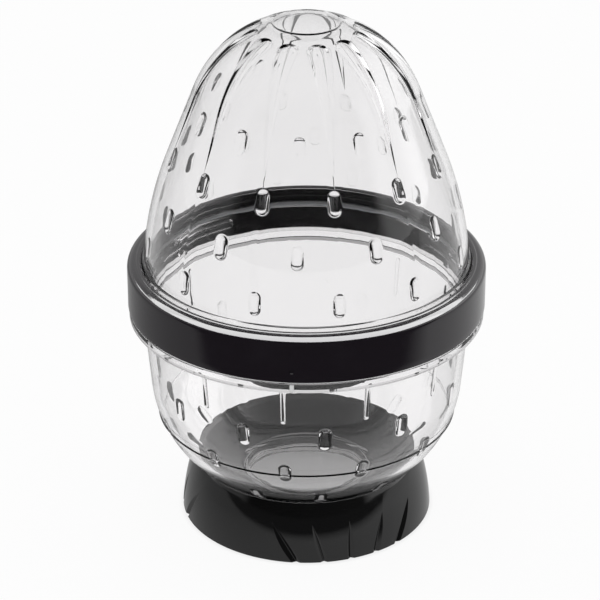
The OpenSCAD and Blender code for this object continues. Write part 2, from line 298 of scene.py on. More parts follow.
def makeFootBlack(s):
    surface = Surface("footBlack")
    inputs = surface.inputs
    inputs["Base Color"].default_value = (*s["colour"], 1)
    surface.vary(inputs["Roughness"], s["smear"], s["smearLevels"])
    surface.bump(s["peel"], *s["peelBump"])  # faint orange peel
    inputs["Specular IOR Level"].default_value = s["shine"]
    return surface.material


sealLook = {"colour": (0.78, 0.80, 0.82), "through": 0.35, "ior": 1.41,
            "smear": (300, 3.0, 0.5), "smearLevels": (0.3, 0.7, 0.35, 0.5),
            "grain": (1500, 2.0, 0.5), "grainBump": (0.15, 0.00004)}


def makeSilicone(s):
    surface = Surface("silicone")
    inputs = surface.inputs
    inputs["Base Color"].default_value = (*s["colour"], 1)
    inputs["Transmission Weight"].default_value = s["through"]
    inputs["IOR"].default_value = s["ior"]
    surface.vary(inputs["Roughness"], s["smear"], s["smearLevels"])
    surface.bump(s["grain"], *s["grainBump"])
    return surface.material


clearPlastic, collarBlack = makeClear(clearLook), makeCollarBlack(collarLook)
footBlack, silicone = makeFootBlack(footLook), makeSilicone(sealLook)
print("materials made")


# nubs: a pill-shaped cell of the inner wall is swapped for rings that climb over the nub

nub = {"width": 4.4, "length": 8.6, "height": 1.4, "fillet": 0.4}
rib = {"width": 1.6, "length": 15.0, "height": 0.6, "fillet": 0.25}
# share of the full height at the low and the high end
nubGrowth = {"dome": (1.0, 0.35), "capRow": (0.2, 0.75), "bowl": (0.4, 1.0), "rib": (1.0, 1.0)}
# rings: out from the nub's foot and up, in fillets, then shares of the way from the crown to the foot
nubFillet = ((1.6, 0.0), (0.9, 0.012), (0.45, 0.10), (0.12, 0.30), (-0.14, 0.62))
nubCrown = (0.86, 0.73, 0.58, 0.4, 0.2, 0)
# a step has two bands for nubs, half a step apart; starts: the first column of each; columns: all in a step
band = {"half": 3.5, "across": np.linspace(-1, 1, 9), "between": (0.25, 0.5, 0.75), "starts": (2, 14),
        "columns": 24}
bandCells = len(band["across"]) - 1


def nubRings(shape):
    radius, fillet = shape["width"] / 2, shape["fillet"]
    sunk = radius - shape["height"]
    foot = math.sqrt(radius ** 2 - sunk ** 2)
    rings = [(foot + out * fillet, up * fillet) for out, up in nubFillet]
    return rings + [(share * foot, math.sqrt(radius ** 2 - (share * foot) ** 2) - sunk) for share in nubCrown]


def addNub(shell, ids, rows, cols, across, along, wallPoint, sizes):
    # the cell's rim, once round: x across the wall, y along it
    (r0, r1), (c0, c1) = rows, cols
    rim = [(i, c0) for i in range(r0, r1)] + [(r1, j) for j in range(c0, c1)] \
        + [(i, c1) for i in range(r1, r0, -1)] + [(r0, j) for j in range(c1, c0, -1)]
    i, j = np.array(rim).T
    x, y = across[i, j], along[i]
    half = sizes["length"] / 2 - sizes["width"] / 2
    keep = np.clip(y, -half, half)
    away = np.stack([x, y - keep], -1)
    away /= np.linalg.norm(away, axis=1)[:, None]
    loops = [ids[i, j]]
    for d, h in nubRings(sizes):
        loops.append(shell.add(wallPoint(d * away[:, 0], keep + d * away[:, 1], h)))
    for outer, inner in zip(loops[:-1], loops[1:]):
        nextOuter, nextInner = np.roll(outer, -1), np.roll(inner, -1)
        shell.faces += np.stack([outer, nextOuter, nextInner, inner], -1).tolist()


def addInside(shell, wall, inset, grid, rows, az, turn, nubs):
    # the grid of the inner wall, with the nubs: middle, low and high end of the cell, band, sizes and growth
    ids = shell.add(grid)
    skip = np.zeros((ids.shape[0] - 1, ids.shape[1] - 1), bool)
    for middle, lowU, highU, side, sizes, growth in nubs:
        low, high = int(np.argmin(abs(rows - lowU))), int(np.argmin(abs(rows - highU)))
        lowShare, highShare = nubGrowth[growth]
        nubR = float(wall.at(middle, inset)[0])
        for k in range(sectorSteps):
            left = k * band["columns"] + band["starts"][side]
            centre = turn + turnStep * k + side * turnStep / 2

            def wallPoint(x, y, h):
                share = lowShare + (highShare - lowShare) * (0.5 + y / sizes["length"])
                pr, pz = wall.at(middle + y, inset + h * share)
                return around(centre + np.degrees(x / nubR), pr, pz)

            right, across = left + bandCells, np.radians(az - centre) * nubR
            skip[low:high, left:right] = True
            addNub(shell, ids, (low, high), (left, right), across, rows - middle, wallPoint, sizes)
    shell.quads(ids, skip)


def bandRows(stops, cells):
    # rows along a wall from stop to stop, with so many cells between them
    parts = [np.linspace(a, b, n + 1)[:-1] for a, b, n in zip(stops[:-1], stops[1:], cells)]
    return np.concatenate(parts + [[stops[-1]]])


def bandColumns(turn, r, most):
    # a step runs from a quarter of it before the nub's turn: gap, band, gap, band, gap
    halfBand = np.minimum(np.degrees(band["half"] / r), most)[:, None]
    first = halfBand * band["across"]
    second = first + turnStep / 2
    start = np.full(halfBand.shape, -turnStep / 4)
    lead = (start + first[:, :1]) / 2
    between = [first[:, -1:] + (second[:, :1] - first[:, -1:]) * t for t in band["between"]]
    trail = (second[:, -1:] + turnStep * 3 / 4) / 2
    step = np.concatenate([start, lead, first, *between, second, trail], 1)
    steps = [step + turn + turnStep * k for k in range(sectorSteps)]
    return np.concatenate(steps + [steps[0][:, :1] + sectorTurn], 1)


# dome

dome = {"wall": 2.2, "baseR": 56.3, "capR": 41.2, "capReach": 1.45, "lean": 21.4, "baseLean": 4.0,
        "collarTop": 96.95, "top": 183.35, "crease": 33,
        "discR": 11.5, "discH": 0.5, "discLedge": 1.0, "discRings": (0, 3, 6, 9, 10.8), "discEdge": 0.22,
        "discRound": 0.06, "discFillet": 0.08,
        "rimZ": 91.6, "rimT": 2.6, "rimR": 58.95, "rimEdge": 0.15, "notchR": 57.45, "notchSpan": 20,
        "groove": (54.9, 57.0, 1.0), "grooveEdge": 0.05, "footR": 56.82, "footZ": (97.4, 98.4),
        "fluteTurn": 11.6, "fluteR": 6.0, "fluteDepth": 1.0, "fluteGap": 5.0, "fluteHalf": 3.8,
        "fluteLow": 0.4, "fluteHigh": 0.9, "fluteSteep": 0.8, "fluteRow": 2,
        "nubStart": 7.7, "nubPitch": 16.5, "nubRows": 4, "nubReach": 5.5, "bandMost": 5.4,
        "inStart": (0.2, 2.5), "inCap": 6, "inCells": (1, 3, 12, 3, 12, 3, 12, 3, 12, 14, 4),
        "inFlat": (0.66, 0.33, 0)}
# the grid over the flutes: rows at the round end and the tip, columns across a flute and the panel beside it
fluteGrid = {"end": np.array([1.12, 1.0, 0.985, 0.93, 0.82, 0.66, 0.42, 0.15]), "endGap": 1,
             "tip": np.array([2.5, 1.2, 0.4, -0.8]), "tipGap": 4,
             "rows": 20, "wallRows": 14, "footRows": 8, "footGap": (0.6, 0.1),
             "leastHalf": 0.15, "shoulder": (1.2, 0.6), "fall": np.array([0, 0.25, 0.7, 1]),
             "sunk": np.array([0, 0.17, 0.8, 1, 1.03, 1, 0.8, 0.17, 0]), "lip": (1.14, 0.05), "seam": 0.1,
             "panel": np.array([0.1, 0.2, 0.28, 0.36, 0.43, 0.5, 0.57, 0.64, 0.72, 0.8])}


class DomeWall:
    # the outside of the dome by its length u, upwards from the underside of the flange
    def __init__(self, s):
        self.s = s
        a, b = math.radians(s["lean"]), math.radians(s["baseLean"])
        self.flatZ = s["top"] - s["discH"]
        self.capZ = self.flatZ - math.sqrt(s["capR"] ** 2 - (s["discR"] + s["discLedge"]) ** 2)
        footR = s["capR"] / math.cos(a) - (s["collarTop"] - self.capZ) * math.tan(a)
        self.bellyR = (footR - s["baseR"]) * math.cos(a) / (1 - math.cos(a - b))
        self.belly = (s["baseR"] - self.bellyR * math.cos(b), s["collarTop"] - self.bellyR * math.sin(b))
        self.low = math.asin((s["rimZ"] - self.belly[1]) / self.bellyR)
        self.a = a
        self.capStart = (s["capR"] * math.cos(a), self.capZ + s["capR"] * math.sin(a))
        bellyEnd = (self.belly[0] + self.bellyR * math.cos(a), self.belly[1] + self.bellyR * math.sin(a))
        self.u1 = self.bellyR * (a - self.low)
        self.u2 = self.u1 + math.dist(bellyEnd, self.capStart)
        self.bellyEnd = bellyEnd

    def at(self, u, inset=0.0):
        u = np.asarray(u, float)
        t = np.where(u < self.u1, self.low + u / self.bellyR,
                     np.where(u < self.u2, self.a, self.a + (u - self.u2) / self.s["capR"]))
        c, n = np.cos(t), np.sin(t)
        run = np.clip(u - self.u1, 0, self.u2 - self.u1)
        r = np.where(u < self.u1, self.belly[0] + self.bellyR * c,
                     np.where(u < self.u2, self.bellyEnd[0] - run * math.sin(self.a), self.s["capR"] * c))
        z = np.where(u < self.u1, self.belly[1] + self.bellyR * n,
                     np.where(u < self.u2, self.bellyEnd[1] + run * math.cos(self.a),
                              self.capZ + self.s["capR"] * n))
        return r - inset * c, z - inset * n

    def lengthAt(self, height):
        u = np.linspace(0, self.u2 + self.s["capR"] * self.s["capReach"], lengthSamples)
        return float(np.interp(height, self.at(u)[1], u))


def buildDome(s):
    wall, shell, g = DomeWall(s), Shell(), fluteGrid
    nubU = [wall.lengthAt(s["collarTop"] + s["nubStart"] + k * s["nubPitch"]) for k in range(s["nubRows"])]
    # a flute runs from its tip, at the top of a nub, to its round end below the disc
    tip = wall.lengthAt(s["collarTop"] + s["nubStart"] + s["fluteRow"] * s["nubPitch"] + nub["length"] / 2)
    capEdge = wall.u2 + s["capR"] * (math.acos(s["discR"] / s["capR"]) - wall.a)
    head = capEdge - s["fluteGap"] - math.sqrt(2 * s["fluteR"] * s["fluteDepth"])
    reach = math.sqrt(s["fluteR"] ** 2 - (s["fluteR"] - s["fluteDepth"]) ** 2)
    # outside, from the disc down to the flange
    flatU = wall.lengthAt(wall.flatZ)
    footLow, footHigh = s["footZ"]
    footRows = np.linspace(footHigh, footLow - g["footGap"][1], g["footRows"])
    rows = np.concatenate([
        [flatU, (flatU + head + reach) / 2], head + reach * g["end"],
        np.linspace(head - g["endGap"], tip + g["tipGap"], g["rows"]), tip + g["tip"],
        np.linspace(tip - g["tipGap"], wall.lengthAt(footHigh + g["footGap"][0]), g["wallRows"]),
        [wall.lengthAt(q) for q in footRows], [wall.lengthAt(s["rimZ"] + s["rimT"])]])
    past = np.clip((rows - head) / reach, 0, 1)
    climb = np.clip((rows - tip) / (head - tip), 0, 1)
    half = s["fluteHalf"] * climb * np.sqrt(1 - past ** 2)
    depth = np.minimum(s["fluteLow"] + (s["fluteHigh"] - s["fluteLow"]) * climb, s["fluteSteep"] * half)
    half = np.maximum(half, g["leastHalf"])
    halfTurn = np.degrees(half / wall.at(rows)[0])[:, None]
    shoulder = np.minimum(g["shoulder"][0] * depth / half, g["shoulder"][1])[:, None]
    sides = np.concatenate([shoulder * g["fall"] - 1, 0 * shoulder, 1 - shoulder * g["fall"][::-1]], 1)
    lip = halfTurn * g["lip"][0] + g["lip"][1]
    gap = turnStep - 2 * lip
    step = np.concatenate([-lip - gap * g["seam"], -lip, halfTurn * sides, lip, lip + gap * g["panel"]], 1)
    steps = [s["fluteTurn"] + turnStep * k + step for k in range(sectorSteps)]
    az = np.concatenate(steps + [steps[0][:, :1] + sectorTurn], 1)
    sinking = np.zeros(step.shape[1])
    sinking[2:2 + len(g["sunk"])] = g["sunk"]
    cut = depth[:, None] * np.append(np.tile(sinking, sectorSteps), 0)
    outR, outZ = wall.at(np.broadcast_to(rows[:, None], az.shape), cut)
    thick = np.clip((footHigh - outZ) / (footHigh - footLow), 0, 1)
    outR = outR + (s["footR"] - outR) * np.sqrt(1 - (1 - thick) ** 2)  # a rounded shoulder above the collar
    discR, discZ, flatZ = s["discR"], s["top"], wall.flatZ
    e, c, f = s["discEdge"], s["discRound"], s["discFillet"]
    top = [(q, discZ) for q in s["discRings"]]
    top += [(discR - e, discZ), (discR - c, discZ - c), (discR, discZ - e),
            (discR, flatZ + f), (discR + f, flatZ)]
    # flange and seal groove under the collar; the notches let the collar's hooks past
    baseAz, edge, soft = az[-1], s["rimEdge"], s["grooveEdge"]
    grooveIn, grooveOut, grooveH = s["groove"]
    rim = np.where((baseAz % sectorTurn) < s["notchSpan"], s["notchR"], s["rimR"])
    lowZ, highZ, grooveZ = s["rimZ"], s["rimZ"] + s["rimT"], s["rimZ"] + grooveH
    under = [(outR[-1] + soft, highZ), (rim - edge, highZ), (rim, highZ - edge), (rim, lowZ + edge),
             (rim - edge, lowZ), (grooveOut + soft, lowZ), (grooveOut, lowZ + soft), (grooveOut, grooveZ),
             (grooveIn, grooveZ), (grooveIn, lowZ + soft), (grooveIn - soft, lowZ)]
    outer = np.concatenate([np.stack([around(az[0], p, q) for p, q in top]), around(az, outR, outZ),
                            np.stack([around(baseAz, p, q) for p, q in under])])
    shell.quads(shell.add(outer))
    # inside, upwards, with the nubs
    capHigh = math.asin((flatZ - s["wall"] - wall.capZ) / (s["capR"] - s["wall"]))
    inTop = wall.u2 + s["capR"] * (capHigh - wall.a)
    cells = [(u - s["nubReach"], u + s["nubReach"]) for u in nubU]
    stops = [*s["inStart"], *(v for cell in cells for v in cell), inTop - s["inCap"], inTop]
    inRows = bandRows(stops, s["inCells"])
    inR, inZ = wall.at(inRows, s["wall"])
    inAz = bandColumns(s["fluteTurn"], inR, s["bandMost"])
    flat = np.stack([around(inAz[-1], q * inR[-1], inZ[-1]) for q in s["inFlat"]])
    growth = ["dome"] * (s["nubRows"] - 1) + ["capRow"]
    nubs = [(u, *cells[k], k % 2, nub, growth[k]) for k, u in enumerate(nubU)]
    inner = np.concatenate([around(inAz, inR[:, None], inZ[:, None]), flat])
    addInside(shell, wall, s["wall"], inner, inRows, inAz, s["fluteTurn"], nubs)
    # the two grids meet under the flange
    bridge(shell, around(baseAz, grooveIn - soft, lowZ), around(inAz[0], inR[0], inZ[0]))
    return repeated("domeShell", shell.mesh("domeShell"), sectorCount, s["crease"], clearPlastic)


domeShell = buildDome(dome)
report(domeShell)


# bowl

bowl = {"wall": 2.2, "neckR": 56.9, "floorZ": 11.5, "roundR": 42.7, "taper": 2.2, "turn": 6.7, "crease": 33,
        "flangeZ": 76.4, "flangeT": 3.7, "flangeR": 61.65, "edge": 0.6, "edgeTurns": (90, 68, 45, 22, 0),
        "neckFillet": ((0, 0.3), (0.1, 0.09), (0.3, 0)), "underFillet": ((0.3, 0), (0.05, -0.1)),
        "rimZ": 90.3, "rimEdge": 0.25, "rimGap": 0.4, "columns": 97,
        "fillZ": 39.3, "fillR": 0.45, "fillRows": np.array([0.7, 0.5, 0.4, 0.25, 0, -0.25, -0.4, -0.5, -0.7]),
        "fillGap": 1.2, "wallGap": (0.6, 0.3), "wallRows": (22, 26),
        "nubStart": 12.5, "nubPitch": 15.0, "nubRows": 3, "nubReach": 5.5, "bandMost": 5.2,
        "ribReach": 8.9, "ribGap": (1, 0.2), "inCells": (3, 4, 12, 3, 12, 3, 12, 1, 14, 3),
        "lugTurn": 89.0, "lugSpan": 40.0, "lugR": 58.6, "lugZ": 84.6, "lugH": 2.4, "lugEdge": 0.15,
        "lugSide": 0.08, "stopZ": 81.6, "stopR": 58.25, "stopAt": (24.0, 27.0), "ledge": 0.02,
        "spigotR": 24.0, "spigotWall": 2.2, "spigotZ": 5.2, "spigotEdge": 0.2, "spigotGap": (0.2, 0.3, 0.25),
        "beadZ": 7.5, "beadR": 0.6, "beadTurns": (90, 60, 30, 0, -30, -60, -90),
        "tickTurn": -4.5, "tickW": 1.2, "tickOut": (0.01, 0.35), "tickEdge": 0.12}


class BowlWall:
    # the outside of the bowl by its length u, outwards and upwards from the middle of its floor
    def __init__(self, s):
        self.s = s
        self.corner = (s["neckR"] - s["taper"] - s["roundR"], s["floorZ"] + s["roundR"])
        to = (s["neckR"] - self.corner[0], s["flangeZ"] - self.corner[1])
        self.lean = math.acos(s["roundR"] / math.hypot(*to)) - math.atan2(to[1], to[0])
        self.u1 = self.corner[0]
        self.u2 = self.u1 + s["roundR"] * (math.pi / 2 - self.lean)
        self.start = (self.corner[0] + s["roundR"] * math.cos(self.lean),
                      self.corner[1] - s["roundR"] * math.sin(self.lean))
        self.u3 = self.u2 + math.dist(self.start, (s["neckR"], s["flangeZ"]))

    def at(self, u, inset=0.0):
        u, s = np.asarray(u, float), self.s
        onFloor, onRound, onWall = u < self.u1, u < self.u2, u < self.u3
        t = np.where(onFloor, -math.pi / 2, np.where(onRound, -math.pi / 2 + (u - self.u1) / s["roundR"],
                                                     np.where(onWall, -self.lean, 0.0)))
        c, n = np.cos(t), np.sin(t)
        up = np.clip(u - self.u2, 0, self.u3 - self.u2)
        r = np.where(onFloor, u, np.where(onRound, self.corner[0] + s["roundR"] * c,
                                          self.start[0] + up * math.sin(self.lean)))
        z = np.where(onFloor, s["floorZ"], np.where(onRound, self.corner[1] + s["roundR"] * n,
                                                    self.start[1] + up * math.cos(self.lean)
                                                    + np.maximum(u - self.u3, 0)))
        return r - inset * c, z - inset * n

    def lengthAt(self, height):
        u = np.linspace(self.u1, self.u3 + 20, lengthSamples)  # 20 mm of neck is past the rim
        return float(np.interp(height, self.at(u)[1], u))


def buildTick(s):
    # closing mark on the stop flange
    low, high = s["flangeZ"] + s["edge"], s["flangeZ"] + s["flangeT"] - s["edge"]
    work = bmesh.new()
    bmesh.ops.create_cube(work, size=1)
    for v in work.verts:
        turn = s["tickTurn"] + math.degrees(s["tickW"] * v.co.y / s["flangeR"])
        spot = around(turn, s["flangeR"] + s["tickOut"][v.co.x > 0], low + (v.co.z + 0.5) * (high - low))
        v.co = Vector(spot.tolist()) * mm
    bmesh.ops.bevel(work, geom=work.edges[:], offset=s["tickEdge"] * mm, segments=2, profile=0.5,
                    affect="EDGES")
    bmesh.ops.recalc_face_normals(work, faces=work.faces)
    data = bpy.data.meshes.new("bowlTick")
    work.to_mesh(data)
    work.free()
    data.materials.append(clearPlastic)
    return newObject("bowlTick", data)


def buildBowl(s):
    wall, shell = BowlWall(s), Shell()
    # inside, from the middle of the floor up to the rim
    nubU = [wall.lengthAt(s["floorZ"] + s["nubStart"] + k * s["nubPitch"]) for k in range(s["nubRows"])]
    ribU = wall.lengthAt(s["flangeZ"] - rib["length"] / 2 - s["ribGap"][0])
    cells = [(u - s["nubReach"], u + s["nubReach"]) for u in nubU]
    ribCell = max(ribU - s["ribReach"], cells[-1][1] + s["ribGap"][1]), ribU + s["ribReach"]
    rimU = wall.lengthAt(s["rimZ"]) - s["rimGap"]
    stops = [0, wall.u1, *(v for cell in cells for v in cell), *ribCell, rimU]
    inRows = bandRows(stops, s["inCells"])
    inR, inZ = wall.at(inRows, s["wall"])
    inAz = bandColumns(s["turn"], np.maximum(inR, 1), s["bandMost"])
    nubs = [(u, *cells[k], k % 2, nub, "bowl") for k, u in enumerate(nubU)]
    nubs.append((ribU, *ribCell, 1, rib, "rib"))
    inner = around(inAz, inR[:, None], inZ[:, None])
    addInside(shell, wall, s["wall"], inner, inRows, inAz, s["turn"], nubs)
    # outside, from the rim down: neck with lugs, stop flange, wall with the fill line, spigot
    start = s["turn"] - turnStep / 4
    az = np.linspace(start, start + sectorTurn, s["columns"])
    lug0, lug1 = s["lugTurn"], s["lugTurn"] + s["lugSpan"] - sectorTurn
    stop0, stop1 = (s["lugTurn"] + at for at in s["stopAt"])
    # each side of a lug or stop stands between two columns, drawn together off the seams
    for edge in (lug1, lug0, stop0, stop1):
        j = int(np.argmin(abs(az - edge)))
        j = min(max(j, 1), len(az) - 3)
        az[j], az[j + 1] = edge - s["lugSide"], edge + s["lugSide"]
    onLug = ((az < lug1) | (az > lug0)).astype(float)
    onStop = ((az > stop0) & (az < stop1)).astype(float)
    neck, top, lugZ, stopZ = s["neckR"], s["rimZ"], s["lugZ"], s["stopZ"]
    neckZ, flangeR, flangeZ = s["flangeZ"] + s["flangeT"], s["flangeR"], s["flangeZ"]
    e, c, d, ledge = s["edge"], s["lugEdge"], s["rimEdge"], s["ledge"]
    lugOut, lugIn, lugTop = onLug * (s["lugR"] - neck), onLug * (s["lugR"] - neck - c), lugZ + s["lugH"]
    stopOut = onStop * (s["stopR"] - neck)
    path = [(neck - s["wall"] + d, top), (neck - d, top), (neck, top - d), (neck, lugTop + ledge),
            (neck + lugIn, lugTop), (neck + lugOut, lugTop - c), (neck + lugOut, lugZ + c),
            (neck + np.maximum(lugIn, stopOut), lugZ), (neck + stopOut, lugZ - ledge),
            (neck + stopOut, stopZ + ledge), (neck, stopZ)]
    path += [(neck + out, neckZ + up) for out, up in s["neckFillet"]]
    turns = np.radians(s["edgeTurns"])
    path += [(flangeR - e + e * math.cos(t), neckZ - e + e * math.sin(t)) for t in turns]
    path += [(flangeR - e + e * math.cos(t), flangeZ + e - e * math.sin(t)) for t in turns[::-1]]
    path += [(neck + out, flangeZ + up) for out, up in s["underFillet"]]
    fillU, fillR, fillGap = wall.lengthAt(s["fillZ"]), s["fillR"], s["fillGap"]
    spigotR, spigotIn = s["spigotR"], s["spigotR"] - s["spigotWall"]
    spigotU, inU = (wall.u1 + s["roundR"] * math.asin((q - wall.corner[0]) / s["roundR"])
                    for q in (spigotR, spigotIn))
    downU = np.concatenate([np.linspace(wall.u3 - s["wallGap"][0], fillU + fillGap, s["wallRows"][0]),
                            fillU + s["fillRows"],
                            np.linspace(fillU - fillGap, spigotU + s["wallGap"][1], s["wallRows"][1])])
    off = abs(downU - fillU)
    bead = np.where(off < fillR, np.sqrt(np.maximum(fillR ** 2 - off ** 2, 0)), 0)
    path += list(zip(*wall.at(downU, -bead)))
    nearU, outGap, inGap = s["spigotGap"]
    spigotZ, tipEdge = s["spigotZ"], s["spigotEdge"]
    path += [(spigotR, float(wall.at(spigotU - nearU)[1]) - outGap)]
    path += [(spigotR + s["beadR"] * math.cos(t), s["beadZ"] + s["beadR"] * math.sin(t))
             for t in np.radians(s["beadTurns"])]
    path += [(spigotR, spigotZ + tipEdge), (spigotR - tipEdge, spigotZ), (spigotIn + tipEdge, spigotZ),
             (spigotIn, spigotZ + tipEdge), (spigotIn, float(wall.at(inU)[1]) - inGap)]
    path += list(zip(*wall.at(np.concatenate([np.linspace(inU - inGap, wall.u1, 5), [wall.u1 / 2, 0]]))))
    grid = np.stack([around(az, p, q) for p, q in path])
    shell.quads(shell.add(grid))
    bridge(shell, around(inAz[-1], inR[-1], inZ[-1]), grid[0])
    thing = repeated("bowlShell", shell.mesh("bowlShell"), sectorCount, s["crease"], clearPlastic)
    joined(thing, buildTick(s))
    return thing


bowlShell = buildBowl(bowl)
report(bowlShell)


# collar: a lathed ring with a closing dot, and hooks repeated inside

collar = {"r": 62.0, "inR": 59.3, "z": 80.45, "top": 96.95, "round": 2.5, "edge": 0.35, "inEdge": 0.2,
          "outGap": 1, "inGap": (1, 0.5), "columns": 175, "columnGap": 3, "crease": 40,
          "lipZ": 94.55, "lipR": 57.0, "lipEdge": 0.25, "lipFillet": ((0.1, 0.05), (0.4, 0)), "lipRound": 1.0,
          "beadR": 58.5, "beadH": 0.3, "beadEdge": 0.3, "beadFillet": ((0.4, 0.02), (0.6, 0)),
          "dotTurn": -4.5, "dotZ": 84.6, "dotR": 0.8, "dotRim": 0.85, "dotDepth": 0.5, "dotGap": 2.4,
          "dotGrid": np.array([-1.6, -1.1, -0.84, -0.76, -0.6, -0.4, -0.2, 0,
                               0.2, 0.4, 0.6, 0.76, 0.84, 1.1, 1.6]),
          "hookR": 57.8, "hookZ": 81.6, "hookH": 1.8, "hookTurn": -123.0, "hookSpan": 16.0, "hookEdge": 0.2,
          "hookSunk": 0.4, "hookColumns": 17, "hookCrease": 30}


def buildCollar(s):
    shell, grid = Shell(), s["dotGrid"]
    outR, inR, base, top, lipZ, lipR = s["r"], s["inR"], s["z"], s["top"], s["lipZ"], s["lipR"]
    edge, inEdge, lipEdge, lipRound = s["edge"], s["inEdge"], s["lipEdge"], s["lipRound"]
    beadEdge, beadTop = s["beadEdge"], top + s["beadH"]
    path = arc(outR - s["round"], top - s["round"], s["round"], 90, 0, 13)
    path += [(outR, q) for q in np.linspace(top - s["round"] - s["outGap"], s["dotZ"] + s["dotGap"], 7)]
    path += [(outR, q) for q in s["dotZ"] - grid]
    path += arc(outR - edge, base + edge, edge, 0, -90, 6)
    path += arc(inR + inEdge, base + inEdge, inEdge, -90, -180, 4)
    path += [(inR, q) for q in np.linspace(base + s["inGap"][0], lipZ - s["inGap"][1], 8)]
    path += [(inR - out, lipZ - down) for out, down in s["lipFillet"]]
    path += arc(lipR + lipEdge, lipZ + lipEdge, lipEdge, -90, -180, 4)
    path += arc(lipR + lipRound, beadTop - lipRound, lipRound, 180, 90, 9)
    path += arc(s["beadR"], beadTop - beadEdge, beadEdge, 90, 20, 7)
    path += [(s["beadR"] + out, top + up) for out, up in s["beadFillet"]] + [path[0]]
    dotStep = np.degrees(grid / outR)
    rest = np.linspace(s["columnGap"], 360 - s["columnGap"], s["columns"])
    az = s["dotTurn"] + np.concatenate([dotStep, rest, [dotStep[0] + 360]])
    r, z = (np.array(q)[:, None] + 0 * az for q in zip(*path))
    # the squares of the grid round the dot are drawn in to circles, and the inner ones sink
    x, y = np.radians((az - s["dotTurn"] + 180) % 360 - 180) * outR, z - s["dotZ"]
    square, outside = np.maximum(abs(x), abs(y)), abs(r - outR) < 1e-6
    pull = np.clip((grid[-1] - square) / (grid[-1] - s["dotRim"]), 0, 1) * outside
    pull *= square / np.maximum(np.hypot(x, y), 1e-9) - 1
    r = r - np.where((square < s["dotR"]) & outside, s["dotDepth"], 0)
    shell.quads(shell.add(around(az + np.degrees(x * pull / outR), r, z + y * pull)))
    ring = repeated("collarRing", shell.mesh("collarRing"), 1, s["crease"], collarBlack)
    hooks, c = Shell(), s["hookEdge"]
    hookAz = np.linspace(s["hookTurn"], s["hookTurn"] + s["hookSpan"], s["hookColumns"])
    low, high, inner, outer = s["hookZ"], s["hookZ"] + s["hookH"], s["hookR"], inR + s["hookSunk"]
    loop = [(outer, high), (outer, low), (inner + c, low), (inner, low + c),
            (inner, high - c), (inner + c, high), (outer, high)]
    ids = hooks.add(np.stack([around(hookAz, p, q) for p, q in loop]))
    hooks.quads(ids)
    hooks.faces += [ids[:-1, 0].tolist()[::-1], ids[:-1, -1].tolist()]
    hookRing = repeated("collarHooks", hooks.mesh("collarHooks"), sectorCount, s["hookCrease"], collarBlack)
    joined(ring, hookRing)
    return ring


collarRing = buildCollar(collar)
report(collarRing)


# seal

seal = {"inR": 55.0, "outR": 56.9, "z": 90.6, "height": 2.0, "edge": 0.35, "columns": 65, "crease": 60}


def buildSeal(s):
    shell, e = Shell(), s["edge"]
    low, high = s["z"] + e, s["z"] + s["height"] - e
    inner, outer = s["inR"] + e, s["outR"] - e
    path = arc(outer, high, e, 90, 0, 5) + arc(outer, low, e, 0, -90, 5) \
        + arc(inner, low, e, -90, -180, 5) + arc(inner, high, e, 180, 90, 5)
    path.append(path[0])
    az = np.linspace(0, sectorTurn, s["columns"])
    shell.quads(shell.add(np.stack([around(az, p, q) for p, q in path])))
    return repeated("sealRing", shell.mesh("sealRing"), sectorCount, s["crease"], silicone)


sealRing = buildSeal(seal)
report(sealRing)


# foot: the columns of its outside lean with the slots, so that the slots' edges run along them

foot = {"r": 44.4, "h": 21.5, "bulge": 77.0, "wall": 2.6, "topR": 40.06, "edge": 0.15, "rimEdge": 0.25,
        "webZ": 8.2, "webT": 2.4, "socketR": 24.1, "socketEdge": 0.2, "nestR": 42.8, "corner": (12.0, 54.2),
        "seatFrom": 11.6, "seatSteps": 400, "rimGap": 0.05, "crease": 20,
        "slots": 5, "slotTurn": 20.6, "slotPitch": 12.6, "slotLean": 16.5, "slotW": 2.4, "slotDepth": 0.85,
        "slotH": 14.0, "slotLeast": 0.12, "slotEnd": np.array([0, 0.3, 0.8, 1.6, 2.7]),
        "slotGap": (0.5, 4, 0.6), "slotRows": (7, 10), "between": 5, "panel": 23,
        "across": np.array([-1.25, -1.03, -0.88, -0.5, -0.08, 0.08, 0.5, 0.88, 1.03, 1.25])}


